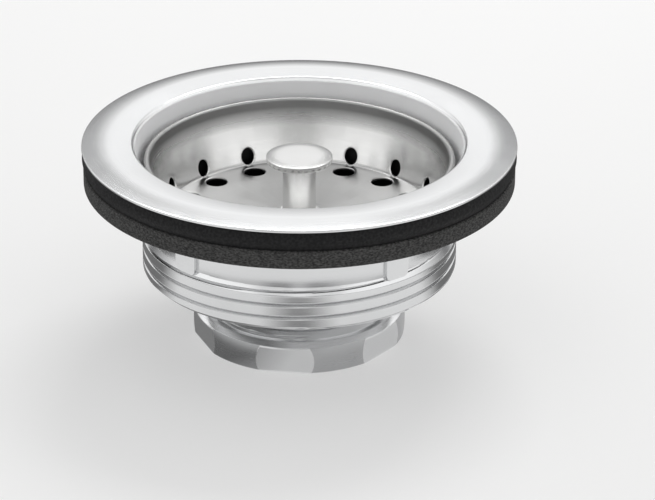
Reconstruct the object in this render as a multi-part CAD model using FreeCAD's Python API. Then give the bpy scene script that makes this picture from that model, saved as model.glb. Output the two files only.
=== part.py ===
import FreeCAD, Part
import math
import os
from FreeCAD import Vector

# Basket strainer waste for a kitchen sink, in millimetres.
# The axis is Z. The part stands on the underside of its slip nut at Z = 0, with the sink flange on top.
# The front of the part faces -Y, and angles in the plan are counted from +X.

# Flange and mouth of the cast body
flange_diameter = 114.0
flange_edge_thickness = 0.7
flange_edge_chamfer = 0.3
flange_crown_inset = 5.5
flange_crown_height = 1.5
flange_crown_radius = 30.0
flange_inner_height = 1.0
mouth_lip = 1.2
mouth_edge_height = 0.1
mouth_wall = 2.5
mouth_wall_depth = 9.6

# Neck, barrel and floor of the cast body
neck_diameter = 88.4
neck_below_washers = 1.0
shoulder_height = 2.4
plain_barrel_length = 9.3
thread_diameter = 83.0
thread_depth = 1.2
thread_chamfer = 1.1
thread_length = 10.7
barrel_wall = 1.2
barrel_end_chamfer = 0.9
bowl_shoulder_radius = 3.0
bowl_shoulder_rise = 0.4
floor_thickness = 3.2
floor_fall = 1.1
floor_corner_radius = 2.5
seat_width = 5.6
seat_blend_radius = 6.0

# Upright ribs on the plain part of the barrel, a pair at the front and a pair at the back
rib_width = 7.1
rib_height = 0.7
rib_root = 0.2
rib_pair_spread = 83.2
rib_front_angle = -93.9
rib_corner_radius = 1.6

# Outlet spigot for the tail pipe
pipe_diameter = 38.1
socket_clearance = 0.35
socket_depth = 5.0
socket_step = 1.0
outlet_mouth_chamfer = 2.0
spigot_wall = 2.6
spigot_thread_depth = 1.9
spigot_neck_length = 10.5
spigot_end_chamfer = 0.7
spigot_root_chamfer = 1.0

# Cross bars in the outlet and the hub that they carry
cross_bar_count = 4
cross_bar_width = 3.2
cross_bar_height = 4.0
cross_bar_edge_radius = 1.1
hub_wall = 2.9
hub_height = 5.0
hub_above_barrel_end = 0.6
hub_edge_chamfer = 0.8
hub_bore_chamfer = 0.7

# Sealing washers under the flange
washer_clearance = 0.05
gasket_inset = 0.4
gasket_thickness = 5.2
gasket_bulge = 0.6
fibre_inset = 0.4
fibre_thickness = 4.8
fibre_edge_chamfer = 0.5

# Slip nut and its washer; each wall is counted outwards from the nut's thread
nut_height = 8.5
nut_thread_clearance = 0.1
nut_top_wall = 2.4
nut_shoulder_wall = 3.9
nut_bulge_wall = 4.2
nut_base_wall = 4.0
nut_flat_wall = 3.15
nut_top_chamfer = 1.25
nut_rim_height = 0.4
nut_mouth_chamfer = 0.8
nut_flat_count = 6
nut_first_flat_angle = -98.0
nut_lip_thickness = 1.9
nut_lip_clearance = 0.85
slip_washer_thickness = 2.0
slip_washer_bore_clearance = 0.65
slip_washer_edge_clearance = 0.25

# Basket cup
basket_rim_below_seat = 3.6
basket_rim_clearance = 0.9
basket_sheet = 0.8
basket_hem_thickness = 1.6
basket_hem_height = 2.2
basket_hem_chamfer = 0.4
basket_clearance = 0.5
basket_wall_draft = 1.9
basket_corner_radius = 0.5
basket_bend_reach = 0.8
hole_count = 16
hole_first_angle = 90.0
wall_hole_width = 3.5
wall_hole_height = 4.8
wall_hole_above_floor = 2.75
floor_hole_diameter = 5.8
floor_hole_inset = 7.0

# Post and lifting knob of the basket
post_diameter = 8.7
post_foot_width = 1.85
post_foot_height = 1.1
post_chamfer = 0.4
post_stud_diameter = 5.0
post_stud_clearance = 0.1
post_spigot_diameter = 5.0
post_spigot_length = 1.2
knob_diameter = 17.4
knob_below_seat = 3.2
knob_edge_thickness = 1.4
knob_edge_chamfer = 0.4
knob_crown = 0.5

# Stopper seal and its retainer under the basket
stopper_height = 9.3
stopper_overlap = 5.1
stopper_lip_width = 3.4
stopper_lip_draft = 1.7
stopper_lip_chamfer = 0.6
stopper_web_thickness = 4.0
stopper_top_diameter = 22.0
stopper_edge_height = 4.6
stopper_edge_radius = 1.6
stopper_gap = 0.3
retainer_diameter = 26.0
retainer_thickness = 1.0
retainer_flat_margin = 2.0
retainer_dish = 0.8

# Catch stem and its hairpin spring
stem_diameter = 6.8
stem_bore_clearance = 0.2
stem_collar_across_flats = 10.0
stem_collar_height = 3.4
stem_socket_depth = 4.2
stem_tip_below_hub = 5.2
stem_tip_chamfer = 1.2
catch_strip = 0.4
catch_width = 2.0
catch_side_clearance = 0.1
catch_top_clearance = 0.05
catch_bend_width = 2.4
catch_bend_radius = 0.95
catch_rise_in_hub = 3.4
catch_waist_inset = 0.85
catch_bulge = 0.9
catch_bulge_below_hub = 1.6
catch_corner_radius = 0.9
catch_foot_inset = 1.35
catch_leg_length = 2.6

# Levels worked out upwards from the underside of the nut
washer_seat = nut_lip_thickness
spigot_end = washer_seat + slip_washer_thickness
socket_top = spigot_end + socket_depth
barrel_end = nut_height + spigot_neck_length
thread_top = barrel_end + thread_length
plain_end = thread_top + thread_chamfer
shoulder_end = plain_end + plain_barrel_length
bowl_shoulder = shoulder_end + bowl_shoulder_rise
neck_end = shoulder_end + shoulder_height
fibre_bottom = neck_end + neck_below_washers
gasket_bottom = fibre_bottom + fibre_thickness
seat_level = gasket_bottom + gasket_thickness
floor_level = barrel_end + floor_thickness
hub_top = barrel_end + hub_above_barrel_end
hub_bottom = hub_top - hub_height
stopper_bottom = floor_level + stopper_gap
basket_floor_under = stopper_bottom + stopper_height
basket_floor_top = basket_floor_under + basket_sheet
basket_rim_top = seat_level - basket_rim_below_seat
knob_top = seat_level - knob_below_seat
knob_under = knob_top - knob_crown - knob_edge_thickness
stopper_web_under = basket_floor_under - stopper_web_thickness
retainer_under = stopper_web_under - retainer_thickness
stem_collar_bottom = retainer_under - stem_collar_height
stem_tip = hub_bottom - stem_tip_below_hub
catch_top = hub_bottom + catch_rise_in_hub

# Radii shared by pieces that fit each other
flange_radius = flange_diameter / 2
neck_radius = neck_diameter / 2
mouth_radius = neck_radius - mouth_lip
mouth_wall_radius = neck_radius - mouth_wall
thread_radius = thread_diameter / 2
barrel_radius = thread_radius - thread_depth
bowl_radius = barrel_radius - barrel_wall
pipe_radius = pipe_diameter / 2
socket_radius = pipe_radius + socket_clearance
outlet_radius = socket_radius - socket_step
seat_radius = outlet_radius + outlet_mouth_chamfer
spigot_neck_radius = socket_radius + spigot_wall
spigot_thread_radius = spigot_neck_radius + spigot_thread_depth
nut_thread_radius = spigot_thread_radius + nut_thread_clearance
washer_bore_radius = neck_radius + washer_clearance
basket_radius = bowl_radius - basket_clearance
basket_rim_outer = mouth_wall_radius - basket_rim_clearance
stud_radius = post_stud_diameter / 2
stud_hole_radius = stud_radius + post_stud_clearance
stem_radius = stem_diameter / 2
hub_bore_radius = stem_radius + stem_bore_clearance
hub_radius = hub_bore_radius + hub_wall

UP = Vector(0, 0, 1)
ORIGIN = Vector(0, 0, 0)
SKIN = 1.0  # how far a cutting tool reaches past the face that it cuts


def corner_edges(before, corner, after, rounding):
    """The point where a rounded corner starts, its arc (or None) and the point where it ends."""
    if rounding <= 0:
        return corner, None, corner
    to_before = (before - corner).normalize()
    to_after = (after - corner).normalize()
    half_angle = to_before.getAngle(to_after) / 2
    reach = rounding / math.tan(half_angle)
    bisector = (to_before + to_after).normalize()
    middle = corner + bisector * (rounding / math.sin(half_angle) - rounding)
    start = corner + to_before * reach
    end = corner + to_after * reach
    return start, Part.Arc(start, middle, end).toShape(), end


def outline(corners, closed=True):
    """A wire in the XZ plane through (x, z) or (x, z, rounding) corners, with arcs at the rounded ones."""
    points = [Vector(c[0], 0, c[1]) for c in corners]
    rounding = [c[2] if len(c) > 2 else 0 for c in corners]
    count = len(points)
    pieces = []
    for i in range(count):
        ends = not closed and i in (0, count - 1)
        before, after = points[i - 1], points[(i + 1) % count]
        pieces.append(corner_edges(before, points[i], after, 0 if ends else rounding[i]))
    edges = []
    for i, (start, arc, end) in enumerate(pieces):
        if arc:
            edges.append(arc)
        if closed or i < count - 1:
            edges.append(Part.LineSegment(end, pieces[(i + 1) % count][0]).toShape())
    return Part.Wire(edges)


def crown_arc(radius, edge_level, top_level):
    """The section of a shallow dome, from its edge to its top on the axis."""
    height = top_level - edge_level
    sphere = (radius ** 2 + height ** 2) / (2 * height)
    half_angle = math.asin(radius / sphere) / 2
    middle = Vector(sphere * math.sin(half_angle), 0, top_level - sphere + sphere * math.cos(half_angle))
    return Part.Arc(Vector(radius, 0, edge_level), middle, Vector(0, 0, top_level)).toShape()


def turned(corners):
    """A solid of revolution about Z from a closed outline."""
    return Part.Face(outline(corners)).revolve(ORIGIN, UP, 360)


def strip(path, thickness):
    """The flat section of a sheet of even thickness that lies on the left of an open path."""
    return path.makeOffset2D(thickness, 0, True, True, False)


def tube(outer_radius, inner_radius, bottom, top):
    outer = Part.makeCylinder(outer_radius, top - bottom, Vector(0, 0, bottom), UP)
    inner = Part.makeCylinder(inner_radius, top - bottom + 2 * SKIN, Vector(0, 0, bottom - SKIN), UP)
    return outer.cut(inner)


def around(shape, count, first_angle):
    """Copies of a shape made on the +X axis, spread evenly about Z."""
    copies = []
    for i in range(count):
        copy = shape.copy()
        copy.rotate(ORIGIN, UP, first_angle + i * 360.0 / count)
        copies.append(copy)
    return copies


def barrel_rib():
    """One upright rib on +X, from the first thread up into the shoulder, with rounded lower corners."""
    half = rib_width / 2
    shoulder_slope = shoulder_height / (neck_radius - barrel_radius)
    top = shoulder_end + rib_height * shoulder_slope + rib_root
    face = Part.Face(outline([
        (-half, thread_top, rib_corner_radius),
        (half, thread_top, rib_corner_radius),
        (half, top),
        (-half, top),
    ]))
    face.rotate(ORIGIN, UP, 90)
    bar = face.extrude(Vector(neck_radius, 0, 0))
    wall_middle = barrel_radius - barrel_wall / 2
    return bar.common(tube(barrel_radius + rib_height, wall_middle, thread_top - SKIN, top + SKIN))


def cross_bar():
    """One bar on +X from the hub to the wall of the outlet, with rounded lower edges."""
    half = cross_bar_width / 2
    top = hub_top
    bottom = hub_top - cross_bar_height
    face = Part.Face(outline([
        (-half, bottom, cross_bar_edge_radius),
        (half, bottom, cross_bar_edge_radius),
        (half, top),
        (-half, top),
    ]))
    face.rotate(ORIGIN, UP, 90)
    wall_middle = (outlet_radius + spigot_neck_radius) / 2
    bar = face.extrude(Vector(wall_middle, 0, 0))
    hub_middle = (hub_bore_radius + hub_radius) / 2
    return bar.cut(Part.makeCylinder(hub_middle, hub_height + 2 * SKIN, Vector(0, 0, hub_bottom - SKIN), UP))


def hub():
    return turned([
        (hub_bore_radius + hub_bore_chamfer, hub_bottom),
        (hub_radius - hub_edge_chamfer, hub_bottom),
        (hub_radius, hub_bottom + hub_edge_chamfer),
        (hub_radius, hub_top),
        (hub_bore_radius + hub_bore_chamfer, hub_top),
        (hub_bore_radius, hub_top - hub_bore_chamfer),
        (hub_bore_radius, hub_bottom + hub_bore_chamfer),
    ])


def strainer_body():
    """Flange, bowl, threaded barrel, cross bars and outlet spigot, cast in one."""
    lip_radius = (mouth_radius + neck_radius) / 2
    shell = turned([
        (neck_radius, seat_level),
        (flange_radius, seat_level),
        (flange_radius, seat_level + flange_edge_thickness - flange_edge_chamfer),
        (flange_radius - flange_edge_chamfer, seat_level + flange_edge_thickness),
        (flange_radius - flange_crown_inset, seat_level + flange_crown_height, flange_crown_radius),
        (lip_radius, seat_level + flange_inner_height),
        (mouth_radius, seat_level + mouth_edge_height),
        (mouth_wall_radius, seat_level - mouth_wall_depth, bowl_shoulder_radius),
        (bowl_radius, bowl_shoulder, bowl_shoulder_radius),
        (bowl_radius, floor_level + floor_fall, floor_corner_radius),
        (seat_radius + seat_width, floor_level, seat_blend_radius),
        (seat_radius, floor_level),
        (outlet_radius, floor_level - outlet_mouth_chamfer),
        (outlet_radius, socket_top),
        (socket_radius, socket_top),
        (socket_radius, spigot_end),
        (spigot_thread_radius - spigot_end_chamfer, spigot_end),
        (spigot_thread_radius, spigot_end + spigot_end_chamfer),
        (spigot_thread_radius, nut_height - spigot_end_chamfer),
        (spigot_neck_radius, nut_height + spigot_end_chamfer),
        (spigot_neck_radius, barrel_end - spigot_root_chamfer),
        (spigot_neck_radius + spigot_root_chamfer, barrel_end),
        (thread_radius - barrel_end_chamfer, barrel_end),
        (thread_radius, barrel_end + barrel_end_chamfer),
        (thread_radius, thread_top),
        (barrel_radius, plain_end),
        (barrel_radius, shoulder_end),
        (neck_radius, neck_end),
    ])
    left_ribs = around(barrel_rib(), 2, rib_front_angle - rib_pair_spread / 2)
    right_ribs = around(barrel_rib(), 2, rib_front_angle + rib_pair_spread / 2)
    bars = around(cross_bar(), cross_bar_count, 0)
    return shell.multiFuse(left_ribs + right_ribs + bars + [hub()]).removeSplitter()


def rubber_gasket():
    """Rubber ring whose outer edge bulges under the flange's load."""
    outer = flange_radius - gasket_inset
    edge = outer - gasket_bulge
    lower = Vector(edge, 0, gasket_bottom)
    upper = Vector(edge, 0, seat_level)
    middle = Vector(outer, 0, (gasket_bottom + seat_level) / 2)
    bore_top = Vector(washer_bore_radius, 0, seat_level)
    bore_bottom = Vector(washer_bore_radius, 0, gasket_bottom)
    side = Part.Arc(lower, middle, upper).toShape()
    rest = Part.makePolygon([upper, bore_top, bore_bottom, lower])
    return Part.Face(Part.Wire([side] + rest.Edges)).revolve(ORIGIN, UP, 360)


def fibre_washer():
    outer = flange_radius - fibre_inset
    return turned([
        (washer_bore_radius, fibre_bottom),
        (outer - fibre_edge_chamfer, fibre_bottom),
        (outer, fibre_bottom + fibre_edge_chamfer),
        (outer, gasket_bottom - fibre_edge_chamfer),
        (outer - fibre_edge_chamfer, gasket_bottom),
        (washer_bore_radius, gasket_bottom),
    ])


def slip_nut():
    """Nut with a bulged side, wrench flats under a round rim, a threaded mouth and an inner lip below."""
    lip_bore = pipe_radius + nut_lip_clearance
    shoulder_level = nut_height - nut_top_chamfer
    base = Vector(nut_thread_radius + nut_base_wall, 0, 0)
    bulge = Vector(nut_thread_radius + nut_bulge_wall, 0, shoulder_level / 2)
    shoulder = Vector(nut_thread_radius + nut_shoulder_wall, 0, shoulder_level)
    rest = Part.makePolygon([
        shoulder,
        Vector(nut_thread_radius + nut_top_wall, 0, nut_height),
        Vector(nut_thread_radius + nut_mouth_chamfer, 0, nut_height),
        Vector(nut_thread_radius, 0, nut_height - nut_mouth_chamfer),
        Vector(nut_thread_radius, 0, washer_seat),
        Vector(lip_bore, 0, washer_seat),
        Vector(lip_bore, 0, 0),
        base,
    ])
    side = Part.Arc(base, bulge, shoulder).toShape()
    nut = Part.Face(Part.Wire([side] + rest.Edges)).revolve(ORIGIN, UP, 360)
    waste = Part.makeBox(
        nut_bulge_wall, 2 * bulge.x, shoulder_level - nut_rim_height + SKIN,
        Vector(nut_thread_radius + nut_flat_wall, -bulge.x, -SKIN),
    )
    return nut.cut(Part.makeCompound(around(waste, nut_flat_count, nut_first_flat_angle)))


def slip_washer():
    outer = nut_thread_radius - slip_washer_edge_clearance
    return tube(outer, pipe_radius + slip_washer_bore_clearance, washer_seat, spigot_end)


def oval_cutter(width, height, reach):
    """An oval bar along +X, standing on its narrow side."""
    oval = Part.Ellipse(ORIGIN, height / 2, width / 2).toShape()
    bar = Part.Face(Part.Wire([oval])).extrude(Vector(0, 0, reach))
    bar.rotate(ORIGIN, Vector(0, 1, 0), 90)
    return bar


def basket_cup():
    """Pressed sheet cup with a hemmed rim, a ring of oval wall holes and a ring of round floor holes."""
    hem_inner = basket_rim_outer - basket_hem_thickness
    hem_bottom = basket_rim_top - basket_hem_height
    wall_top = hem_inner + basket_sheet
    flare_end = hem_bottom - basket_bend_reach
    # The wall leans out past the bowl's shoulder and turns upright under the hem.
    flare_slope = math.atan2(wall_top - basket_radius, flare_end - bowl_shoulder)
    bend_radius = basket_bend_reach / math.tan(flare_slope / 2)
    path = outline([
        (stud_hole_radius, basket_floor_under),
        (basket_radius - basket_wall_draft, basket_floor_under, basket_corner_radius + basket_sheet),
        (basket_radius, bowl_shoulder),
        (wall_top, flare_end, bend_radius),
        (wall_top, hem_bottom + basket_hem_chamfer),
    ], closed=False)
    hem = turned([
        (hem_inner, hem_bottom),
        (basket_rim_outer - basket_hem_chamfer, hem_bottom),
        (basket_rim_outer, hem_bottom + basket_hem_chamfer),
        (basket_rim_outer, basket_rim_top - basket_hem_chamfer),
        (basket_rim_outer - basket_hem_chamfer, basket_rim_top),
        (hem_inner + basket_hem_chamfer, basket_rim_top),
        (hem_inner, basket_rim_top - basket_hem_chamfer),
    ])
    cup = strip(path, basket_sheet).revolve(ORIGIN, UP, 360).fuse(hem).removeSplitter()
    hole_circle = basket_radius - floor_hole_inset
    wall_hole = oval_cutter(wall_hole_width, wall_hole_height, basket_rim_outer)
    wall_hole.translate(Vector(hole_circle, 0, basket_floor_top + wall_hole_above_floor))
    floor_hole = Part.makeCylinder(
        floor_hole_diameter / 2, basket_sheet + 2 * SKIN,
        Vector(hole_circle, 0, basket_floor_under - SKIN), UP,
    )
    holes = around(wall_hole, hole_count, hole_first_angle) + around(floor_hole, hole_count, hole_first_angle)
    return cup.cut(Part.makeCompound(holes))


def basket_post():
    """Turned post: a foot on the basket floor, a spigot for the knob and a stud down to the catch stem."""
    radius = post_diameter / 2
    foot = radius + post_foot_width
    foot_top = basket_floor_top + post_foot_height
    stud_end = retainer_under - stem_socket_depth + post_stud_clearance
    spigot = post_spigot_diameter / 2
    return turned([
        (0, stud_end),
        (stud_radius - post_chamfer, stud_end),
        (stud_radius, stud_end + post_chamfer),
        (stud_radius, basket_floor_top),
        (foot, basket_floor_top),
        (foot, foot_top - post_chamfer),
        (foot - post_chamfer, foot_top),
        (radius, foot_top),
        (radius, knob_under),
        (spigot, knob_under),
        (spigot, knob_under + post_spigot_length),
        (0, knob_under + post_spigot_length),
    ])


def lift_knob():
    """Low crowned disc with a blind hole for the post's spigot."""
    radius = knob_diameter / 2
    edge_top = knob_under + knob_edge_thickness
    hole = post_spigot_diameter / 2
    hole_top = knob_under + post_spigot_length
    crown = crown_arc(radius - knob_edge_chamfer, edge_top, knob_top)
    rest = Part.makePolygon([
        Vector(0, 0, knob_top),
        Vector(0, 0, hole_top),
        Vector(hole, 0, hole_top),
        Vector(hole, 0, knob_under),
        Vector(radius - knob_edge_chamfer, 0, knob_under),
        Vector(radius, 0, knob_under + knob_edge_chamfer),
        Vector(radius, 0, edge_top - knob_edge_chamfer),
        Vector(radius - knob_edge_chamfer, 0, edge_top),
    ])
    return Part.Face(Part.Wire([crown] + rest.Edges)).revolve(ORIGIN, UP, 360)


def stopper_seal():
    """Rubber bell under the basket floor whose lip closes on the seat round the outlet."""
    radius = seat_radius + stopper_overlap
    lip_inner = radius - stopper_lip_width
    return turned([
        (stud_hole_radius, stopper_web_under),
        (stud_hole_radius, basket_floor_under),
        (stopper_top_diameter / 2, basket_floor_under),
        (radius, stopper_bottom + stopper_edge_height, stopper_edge_radius),
        (radius, stopper_bottom + stopper_lip_chamfer),
        (radius - stopper_lip_chamfer, stopper_bottom),
        (lip_inner, stopper_bottom),
        (lip_inner - stopper_lip_draft, stopper_web_under),
    ])


def seal_retainer():
    """Dished washer that clamps the middle of the stopper."""
    path = outline([
        (stud_hole_radius, retainer_under),
        (stem_collar_across_flats / 2 + retainer_flat_margin, retainer_under),
        (retainer_diameter / 2, retainer_under - retainer_dish),
    ], closed=False)
    return strip(path, retainer_thickness).revolve(ORIGIN, UP, 360)


def catch_stem():
    """Hexagon collar screwed up on the post's stud, with a slotted pin that runs in the hub."""
    pin = turned([
        (0, stem_tip),
        (stem_radius - stem_tip_chamfer, stem_tip),
        (stem_radius, stem_tip + stem_tip_chamfer),
        (stem_radius, stem_collar_bottom + stem_collar_height / 2),
        (0, stem_collar_bottom + stem_collar_height / 2),
    ])
    corner = Vector(stem_collar_across_flats / 2 / math.cos(math.pi / 6), 0, stem_collar_bottom)
    turn = FreeCAD.Rotation(UP, 60)
    corners = [corner]
    for _ in range(6):
        corners.append(turn.multVec(corners[-1]))
    collar = Part.Face(Part.makePolygon(corners)).extrude(Vector(0, 0, stem_collar_height))
    socket = Part.makeCylinder(
        stud_hole_radius, stem_socket_depth + SKIN, Vector(0, 0, retainer_under - stem_socket_depth), UP,
    )
    slot_width = catch_width + 2 * catch_side_clearance
    slot_top = catch_top + catch_strip + catch_top_clearance
    slot = Part.makeBox(
        stem_diameter + 2 * SKIN, slot_width, slot_top - stem_tip + SKIN,
        Vector(-stem_radius - SKIN, -slot_width / 2, stem_tip - SKIN),
    )
    return pin.fuse(collar).cut(socket).cut(slot).removeSplitter()


def catch_spring():
    """Hairpin strip in the stem's slot; its two bulges stand under the hub and hold the basket down."""
    bulge_level = hub_bottom - catch_bulge_below_hub
    right = [
        (catch_bend_width / 2, catch_top, catch_bend_radius),
        (stem_radius - catch_waist_inset, hub_bottom + catch_strip, catch_corner_radius),
        (stem_radius + catch_bulge, bulge_level, catch_corner_radius),
        (stem_radius - catch_foot_inset, bulge_level - catch_leg_length),
    ]
    left = [(-corner[0],) + corner[1:] for corner in reversed(right)]
    section = strip(outline(left + right, closed=False), catch_strip)
    spring = section.extrude(Vector(0, catch_width, 0))
    spring.translate(Vector(0, -catch_width / 2, 0))
    return spring


pieces = {
    "strainer_body": strainer_body,
    "rubber_gasket": rubber_gasket,
    "fibre_washer": fibre_washer,
    "slip_nut": slip_nut,
    "slip_washer": slip_washer,
    "basket_cup": basket_cup,
    "basket_post": basket_post,
    "lift_knob": lift_knob,
    "stopper_seal": stopper_seal,
    "seal_retainer": seal_retainer,
    "catch_stem": catch_stem,
    "catch_spring": catch_spring,
}

os.makedirs("parts", exist_ok=True)
for name, make in pieces.items():
    shape = make()
    solids = shape.Solids
    if len(solids) == 1:
        shape = solids[0]
    box = shape.optimalBoundingBox()
    print(
        f"{name}: {len(solids)} solid, valid {shape.isValid()}, volume {shape.Volume:.1f} mm3,"
        f" X {box.XMin:.2f} to {box.XMax:.2f}, Z {box.ZMin:.2f} to {box.ZMax:.2f}"
    )
    shape.exportStep(f"parts/{name}.step")
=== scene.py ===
import bpy
import math
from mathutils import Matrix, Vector


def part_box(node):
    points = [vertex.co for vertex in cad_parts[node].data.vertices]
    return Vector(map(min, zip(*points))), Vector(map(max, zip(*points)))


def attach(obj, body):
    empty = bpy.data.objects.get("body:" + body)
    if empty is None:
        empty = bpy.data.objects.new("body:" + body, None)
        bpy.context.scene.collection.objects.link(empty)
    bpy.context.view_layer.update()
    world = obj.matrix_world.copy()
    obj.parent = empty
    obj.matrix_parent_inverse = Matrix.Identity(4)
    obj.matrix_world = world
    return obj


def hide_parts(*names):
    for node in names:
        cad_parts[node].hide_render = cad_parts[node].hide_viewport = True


# Looks of a kitchen sink's basket strainer waste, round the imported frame.
# Outlines and node trees work in millimetres, and each tree ends by scaling to metres.
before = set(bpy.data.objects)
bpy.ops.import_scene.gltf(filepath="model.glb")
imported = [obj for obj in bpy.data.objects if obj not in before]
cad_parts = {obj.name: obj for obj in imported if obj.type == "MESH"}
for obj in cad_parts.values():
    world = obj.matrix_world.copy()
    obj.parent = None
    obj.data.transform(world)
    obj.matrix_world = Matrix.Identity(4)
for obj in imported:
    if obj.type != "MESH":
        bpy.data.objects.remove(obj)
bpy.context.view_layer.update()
scene = bpy.context.scene
mm = 0.001
fullTurn = 2 * math.pi
arcStep = math.radians(9)  # largest turn between two points of a rounded corner
fewestArcSteps = 4
weldGap = 0.002  # points nearer than this become one
softBend = math.radians(32)  # edges that bend by more stay sharp
print("frame loaded:", len(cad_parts), "nodes")


def bottomOf(node):
    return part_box(node)[0].z / mm


def topOf(node):
    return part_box(node)[1].z / mm


def radiusOf(node):
    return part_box(node)[1].x / mm


seatLevel = topOf("rubber_gasket")  # underside of the flange
gasketBottom = bottomOf("rubber_gasket")
fibreBottom = bottomOf("fibre_washer")
nutTop = topOf("slip_nut")
spigotEnd = bottomOf("strainer_body")
basketFloor = bottomOf("basket_cup")
basketRim = topOf("basket_cup")


# Outlines: (radius, level) or (radius, level, rounding) corners become points with tangent arcs
def roundedOutline(corners, closed=True):
    points = []
    last = len(corners) - 1
    for i, corner in enumerate(corners):
        here = Vector(corner[:2])
        isEnd = not closed and i in (0, last)
        if len(corner) < 3 or isEnd:
            points.append(here)
            continue
        before = (Vector(corners[i - 1][:2]) - here).normalized()
        after = (Vector(corners[(i + 1) % len(corners)][:2]) - here).normalized()
        half = before.angle(after) / 2
        centre = here + (before + after).normalized() * corner[2] / math.sin(half)
        spoke = here + before * corner[2] / math.tan(half) - centre
        sweep = math.pi - 2 * half
        if before.x * after.y - before.y * after.x > 0:
            sweep = -sweep
        steps = max(fewestArcSteps, math.ceil(abs(sweep) / arcStep))
        for k in range(steps + 1):
            turn = sweep * k / steps
            across = spoke.x * math.cos(turn) - spoke.y * math.sin(turn)
            up = spoke.x * math.sin(turn) + spoke.y * math.cos(turn)
            points.append(centre + Vector((across, up)))
    if closed:
        points.append(points[0])
    return points


def outlineObject(name, points):
    mesh = bpy.data.meshes.new(name)
    rim = [(p.x, 0, p.y) for p in points]
    mesh.from_pydata(rim, [(i, i + 1) for i in range(len(rim) - 1)], [])
    made = bpy.data.objects.new(name, mesh)
    scene.collection.objects.link(made)
    return made


# Small helpers for node trees
socketKinds = {
    int: "NodeSocketInt",
    float: "NodeSocketFloat",
    bpy.types.Object: "NodeSocketObject",
    bpy.types.Material: "NodeSocketMaterial",
}


# A tree with a named input for each size, given as a value or as its kind. Nested sizes get none.
def newTree(name, sizes):
    tree = bpy.data.node_groups.new(name, "GeometryNodeTree")
    tree.interface.new_socket("Geometry", in_out="INPUT", socket_type="NodeSocketGeometry")
    tree.interface.new_socket("Geometry", in_out="OUTPUT", socket_type="NodeSocketGeometry")
    for label, value in sizes.items():
        kind = value if isinstance(value, type) else type(value)
        if kind in socketKinds:
            tree.interface.new_socket(label, in_out="INPUT", socket_type=socketKinds[kind])
    given = tree.nodes.new("NodeGroupInput").outputs
    result = tree.nodes.new("NodeGroupOutput").inputs[0]
    return tree, given, result


def put(tree, kind, *feeds, **settings):
    node = tree.nodes.new(kind)
    for key, value in settings.items():
        setattr(node, key, value)
    for socket, feed in zip(node.inputs, feeds):
        if isinstance(feed, bpy.types.NodeSocket):
            tree.links.new(feed, socket)
        elif feed is not None:
            socket.default_value = feed
    return node.outputs[0]


def calc(tree, operation, *feeds):
    return put(tree, "ShaderNodeMath", *feeds, operation=operation)


def times(tree, first, second):
    return calc(tree, "MULTIPLY", first, second)


def useGroup(tree, group, geometry, **feeds):
    node = tree.nodes.new("GeometryNodeGroup")
    node.node_tree = group
    if geometry:
        tree.links.new(geometry, node.inputs[0])
    for label, feed in feeds.items():
        if isinstance(feed, bpy.types.NodeSocket):
            tree.links.new(feed, node.inputs[label])
        else:
            node.inputs[label].default_value = feed
    return node.outputs[0]


# Inputs that carry a part's name: barrelCrest feeds crest, and so on
def feedsFor(given, part, labels):
    return {label: given[part + label[0].upper() + label[1:]] for label in labels}


def joinAll(tree, *parts):
    node = tree.nodes.new("GeometryNodeJoinGeometry")
    for part in parts:
        tree.links.new(part, node.inputs[0])
    return node.outputs[0]


def weld(tree, mesh):
    return put(tree, "GeometryNodeMergeByDistance", mesh, None, weldGap)


def outlineOf(tree, source):
    return put(tree, "GeometryNodeObjectInfo", source).node.outputs["Geometry"]


def combine(tree, operation, base, tools):
    node = tree.nodes.new("GeometryNodeMeshBoolean")
    node.operation = operation
    node.solver = "MANIFOLD"
    if operation == "DIFFERENCE":
        tree.links.new(base, node.inputs["Mesh 1"])
    else:
        tree.links.new(base, node.inputs["Mesh 2"])
    tree.links.new(tools, node.inputs["Mesh 2"])
    return node.outputs[0]


def onCylinder(tree, grid, radius, angle, level):
    x = times(tree, radius, calc(tree, "COSINE", angle))
    y = times(tree, radius, calc(tree, "SINE", angle))
    place = put(tree, "ShaderNodeCombineXYZ", x, y, level)
    return weld(tree, put(tree, "GeometryNodeSetPosition", grid, None, place))


# A grid, with each point's share of the way round and its row
def gridPlaces(tree, segments, rows):
    columns = calc(tree, "ADD", segments, 1.0)
    grid = put(tree, "GeometryNodeMeshGrid", 1.0, 1.0, columns, rows)
    index = put(tree, "GeometryNodeInputIndex")
    column = calc(tree, "FLOOR", calc(tree, "DIVIDE", index, rows))
    row = calc(tree, "MODULO", index, rows)
    share = calc(tree, "DIVIDE", column, segments)
    return grid, share, row


# Turns an outline about Z
def makeLathe():
    tree, given, result = newTree("latheOutline", {"segments": int})
    rows = put(tree, "GeometryNodeAttributeDomainSize", given["Geometry"])
    grid, share, row = gridPlaces(tree, given["segments"], rows)
    position = put(tree, "GeometryNodeInputPosition")
    sample = put(tree, "GeometryNodeSampleIndex", data_type="FLOAT_VECTOR", domain="POINT").node
    tree.links.new(given["Geometry"], sample.inputs["Geometry"])
    tree.links.new(position, sample.inputs["Value"])
    tree.links.new(row, sample.inputs["Index"])
    point = put(tree, "ShaderNodeSeparateXYZ", sample.outputs[0]).node.outputs
    angle = times(tree, share, fullTurn)
    tree.links.new(onCylinder(tree, grid, point["X"], angle, point["Z"]), result)
    return tree


# A band of right-hand thread whose rows follow the helix, cut back by a cone at each end
threadSizes = ("crest", "ring", "depth", "groove", "pitch", "phase", "bottom", "top", "chamfer", "runOut")
rowsPerTurn = 24.0
spareTurns = 2.0  # below the band, for the rise once round and for the phase


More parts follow.
